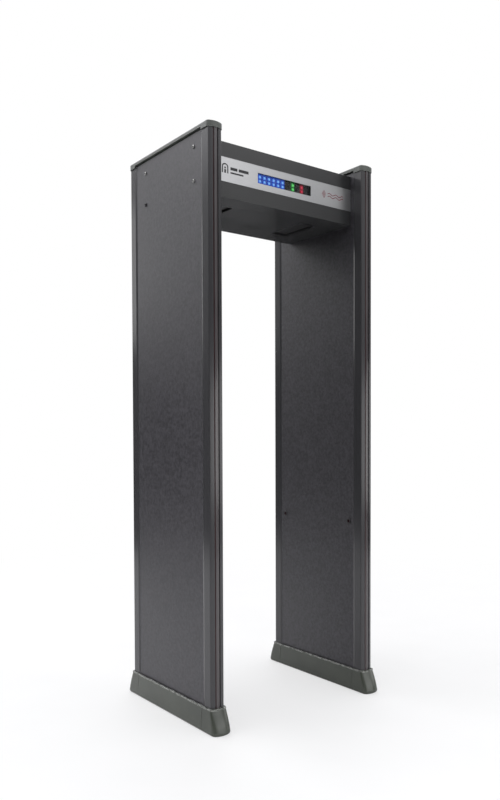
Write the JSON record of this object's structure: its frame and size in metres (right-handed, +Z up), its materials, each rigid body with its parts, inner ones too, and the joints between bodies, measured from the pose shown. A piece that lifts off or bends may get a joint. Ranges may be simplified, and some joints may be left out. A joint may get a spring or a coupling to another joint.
{
  "type": "security gate",
  "caption": "Walk-through metal detector: two upright coil panels on flared feet, joined near the top by a header box with a light display in front and a service door behind.",
  "frame": {"origin": "centre of the footprint on the floor, midway between the two panels and midway between their front and rear noses", "axes": "+Z up; X across the passage; -Y towards the side with the display, +Y towards the service door"},
  "size_m": [0.8394, 0.6904, 2.23],
  "materials": {
    "foot_plastic": "satin moulded",
    "cap_plastic": "satin moulded",
    "post_plastic": "satin extruded",
    "zone_lens": "smoked red translucent",
    "circuit_board": "solder mask",
    "board_vinyl": "fine pebble texture",
    "frame_wood": "bare",
    "coil_copper": "enamelled winding",
    "black_plastic": "moulded",
    "photocell_lens": "dark infrared",
    "bolt_bright": "bright",
    "bolt_black": "black oxide",
    "connector_metal": "plated",
    "bracket_steel": "zinc plated",
    "header_paint": "semi-gloss",
    "hatch_plastic": "matte",
    "fascia_silver": "brushed",
    "window_gloss": "smoked gloss",
    "light_blue": "diffused light",
    "light_green": "diffused light",
    "light_red": "diffused light",
    "light_unlit": "diffused light, off",
    "tray_paint": "matte",
    "supply_case": "perforated case",
    "rocker_plastic": "gloss",
    "hinge_steel": "satin",
    "door_paint": "semi-gloss",
    "lock_chrome": "bright",
    "key_rubber": "matte"
  },
  "bodies": {
    "gate_frame": {"left_foot": "foot_plastic", "left_cap": "cap_plastic", "left_front_post": "post_plastic", "left_rear_post": "post_plastic", "left_zone_lenses": "zone_lens", "left_led_strips": "circuit_board", "left_outer_board": "board_vinyl", "left_inner_board": "board_vinyl", "left_coil_frame": "frame_wood", "left_transmit_coil": "coil_copper", "left_photocell_housings": "black_plastic", "left_photocell_lenses": "photocell_lens", "left_header_bolts": "bolt_bright", "left_cable_connector": "connector_metal", "left_end_bracket": "bracket_steel", "right_foot": "foot_plastic", "right_cap": "cap_plastic", "right_front_post": "post_plastic", "right_rear_post": "post_plastic", "right_zone_lenses": "zone_lens", "right_led_strips": "circuit_board", "right_outer_board": "board_vinyl", "right_inner_board": "board_vinyl", "right_coil_frame": "frame_wood", "right_receive_coils": "coil_copper", "right_photocell_housings": "black_plastic", "right_photocell_lenses": "photocell_lens", "right_header_bolts": "bolt_bright", "right_cable_connector": "connector_metal", "right_end_bracket": "bracket_steel", "left_black_header_bolt": "bolt_black", "header_front_shell": "header_paint", "header_rear_shell": "header_paint", "header_top_plate": "header_paint", "header_bottom_plate": "header_paint", "hatch_covers": "hatch_plastic", "fascia_strip": "fascia_silver", "display_window": "window_gloss", "display_board": "circuit_board", "display_lights_blue": "light_blue", "display_lights_green": "light_green", "display_lights_red": "light_red", "display_lights_unlit": "light_unlit", "control_bay_tray": "tray_paint", "control_board": "circuit_board", "power_supply": "supply_case", "alarm_sounder": "black_plastic", "power_inlet": "black_plastic", "switch_frame": "black_plastic", "hinge_fixed_leaf": "hinge_steel", "hinge_pin": "hinge_steel"},
    "service_door": {"service_door": "door_paint"},
    "door_lock": {"lock_cylinder": "lock_chrome", "lock_cam": "bracket_steel"},
    "power_rocker": {"power_rocker": "rocker_plastic"},
    "key_up": {"key_up": "key_rubber"},
    "key_down": {"key_down": "key_rubber"},
    "key_set": {"key_set": "key_rubber"},
    "key_reset": {"key_reset": "key_rubber"}
  },
  "joints": [
    {"name": "service_door_hinge", "type": "hinge", "parent": "gate_frame", "child": "service_door", "pos_m": [-0.156, 0.1912, 2.1], "axis": [0, 0, 1], "range_deg": [0, 110]},
    {"name": "door_lock_turn", "type": "hinge", "parent": "service_door", "child": "door_lock", "pos_m": [0.127, 0.1899, 2.1], "axis": [0, -1, 0], "range_deg": [0, 90]},
    {"name": "power_rocker_tilt", "type": "hinge", "parent": "gate_frame", "child": "power_rocker", "pos_m": [0.25, 0.185, 2.12], "axis": [-1, 0, 0], "range_deg": [0, 22]},
    {"name": "key_up_press", "type": "slide", "parent": "gate_frame", "child": "key_up", "axis": [0, -1, 0], "range_m": [0, 0.0012], "stiffness_N_per_m": 600, "springref_m": -0.001},
    {"name": "key_down_press", "type": "slide", "parent": "gate_frame", "child": "key_down", "axis": [0, -1, 0], "range_m": [0, 0.0012], "stiffness_N_per_m": 600, "springref_m": -0.001},
    {"name": "key_set_press", "type": "slide", "parent": "gate_frame", "child": "key_set", "axis": [0, -1, 0], "range_m": [0, 0.0012], "stiffness_N_per_m": 600, "springref_m": -0.001},
    {"name": "key_reset_press", "type": "slide", "parent": "gate_frame", "child": "key_reset", "axis": [0, -1, 0], "range_m": [0, 0.0012], "stiffness_N_per_m": 600, "springref_m": -0.001}
  ]
}
